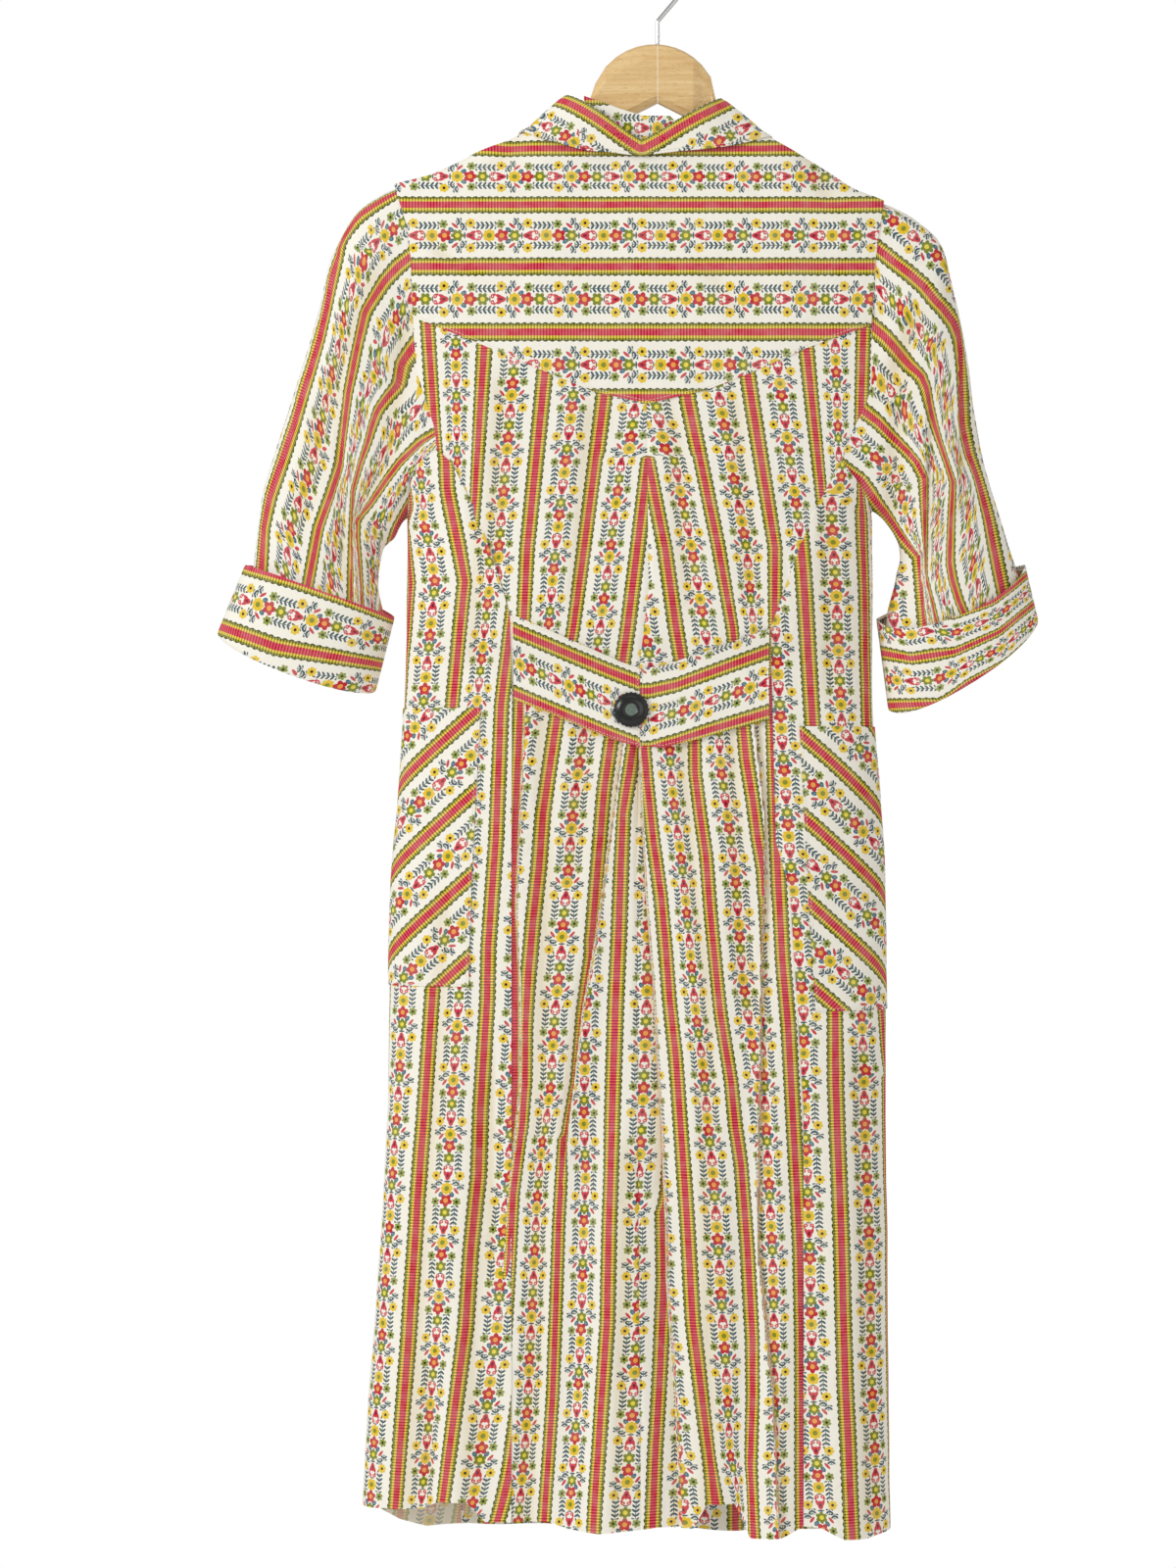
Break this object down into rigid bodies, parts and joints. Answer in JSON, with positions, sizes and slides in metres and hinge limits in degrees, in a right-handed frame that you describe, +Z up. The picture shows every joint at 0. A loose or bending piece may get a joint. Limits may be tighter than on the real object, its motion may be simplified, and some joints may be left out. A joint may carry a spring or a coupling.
{
  "type": "house dress on a wooden hanger",
  "caption": "Striped floral cotton house dress with yoke, buttoned half-belt, hip pockets and turned-back cuffs, hung by its shoulders on a two-part wooden hanger with a wire hook.",
  "frame": {"origin": "inside top of the hanger's hook, where a rail bears", "axes": "+Z up, X across the shoulders with the wearer's right at +X, the dress's back towards -Y"},
  "size_m": [0.6476, 0.113, 1.2519],
  "materials": {
    "printed_cotton": "crisp plain-weave cotton, red and yellow ribbon stripes and small flowers printed on white",
    "black_plastic": "moulded, scalloped rim, worn gloss",
    "beech": "pale, lightly varnished",
    "steel_wire": "plain drawn wire"
  },
  "bodies": {
    "root": {"back_yoke": "printed_cotton", "back_panel_left": "printed_cotton", "back_panel_right": "printed_cotton", "side_panel_left": "printed_cotton", "side_panel_right": "printed_cotton", "front_panel_left": "printed_cotton", "front_panel_right": "printed_cotton", "sleeve_left": "printed_cotton", "sleeve_right": "printed_cotton", "cuff_left": "printed_cotton", "cuff_right": "printed_cotton", "collar_left": "printed_cotton", "collar_right": "printed_cotton", "neck_band": "printed_cotton", "belt_left": "printed_cotton", "belt_right": "printed_cotton", "pocket_left": "printed_cotton", "pocket_right": "printed_cotton", "belt_button": "black_plastic", "hanger_arm_left": "beech", "hanger_arm_right": "beech", "hanger_hook": "steel_wire"}
  },
  "joints": []
}
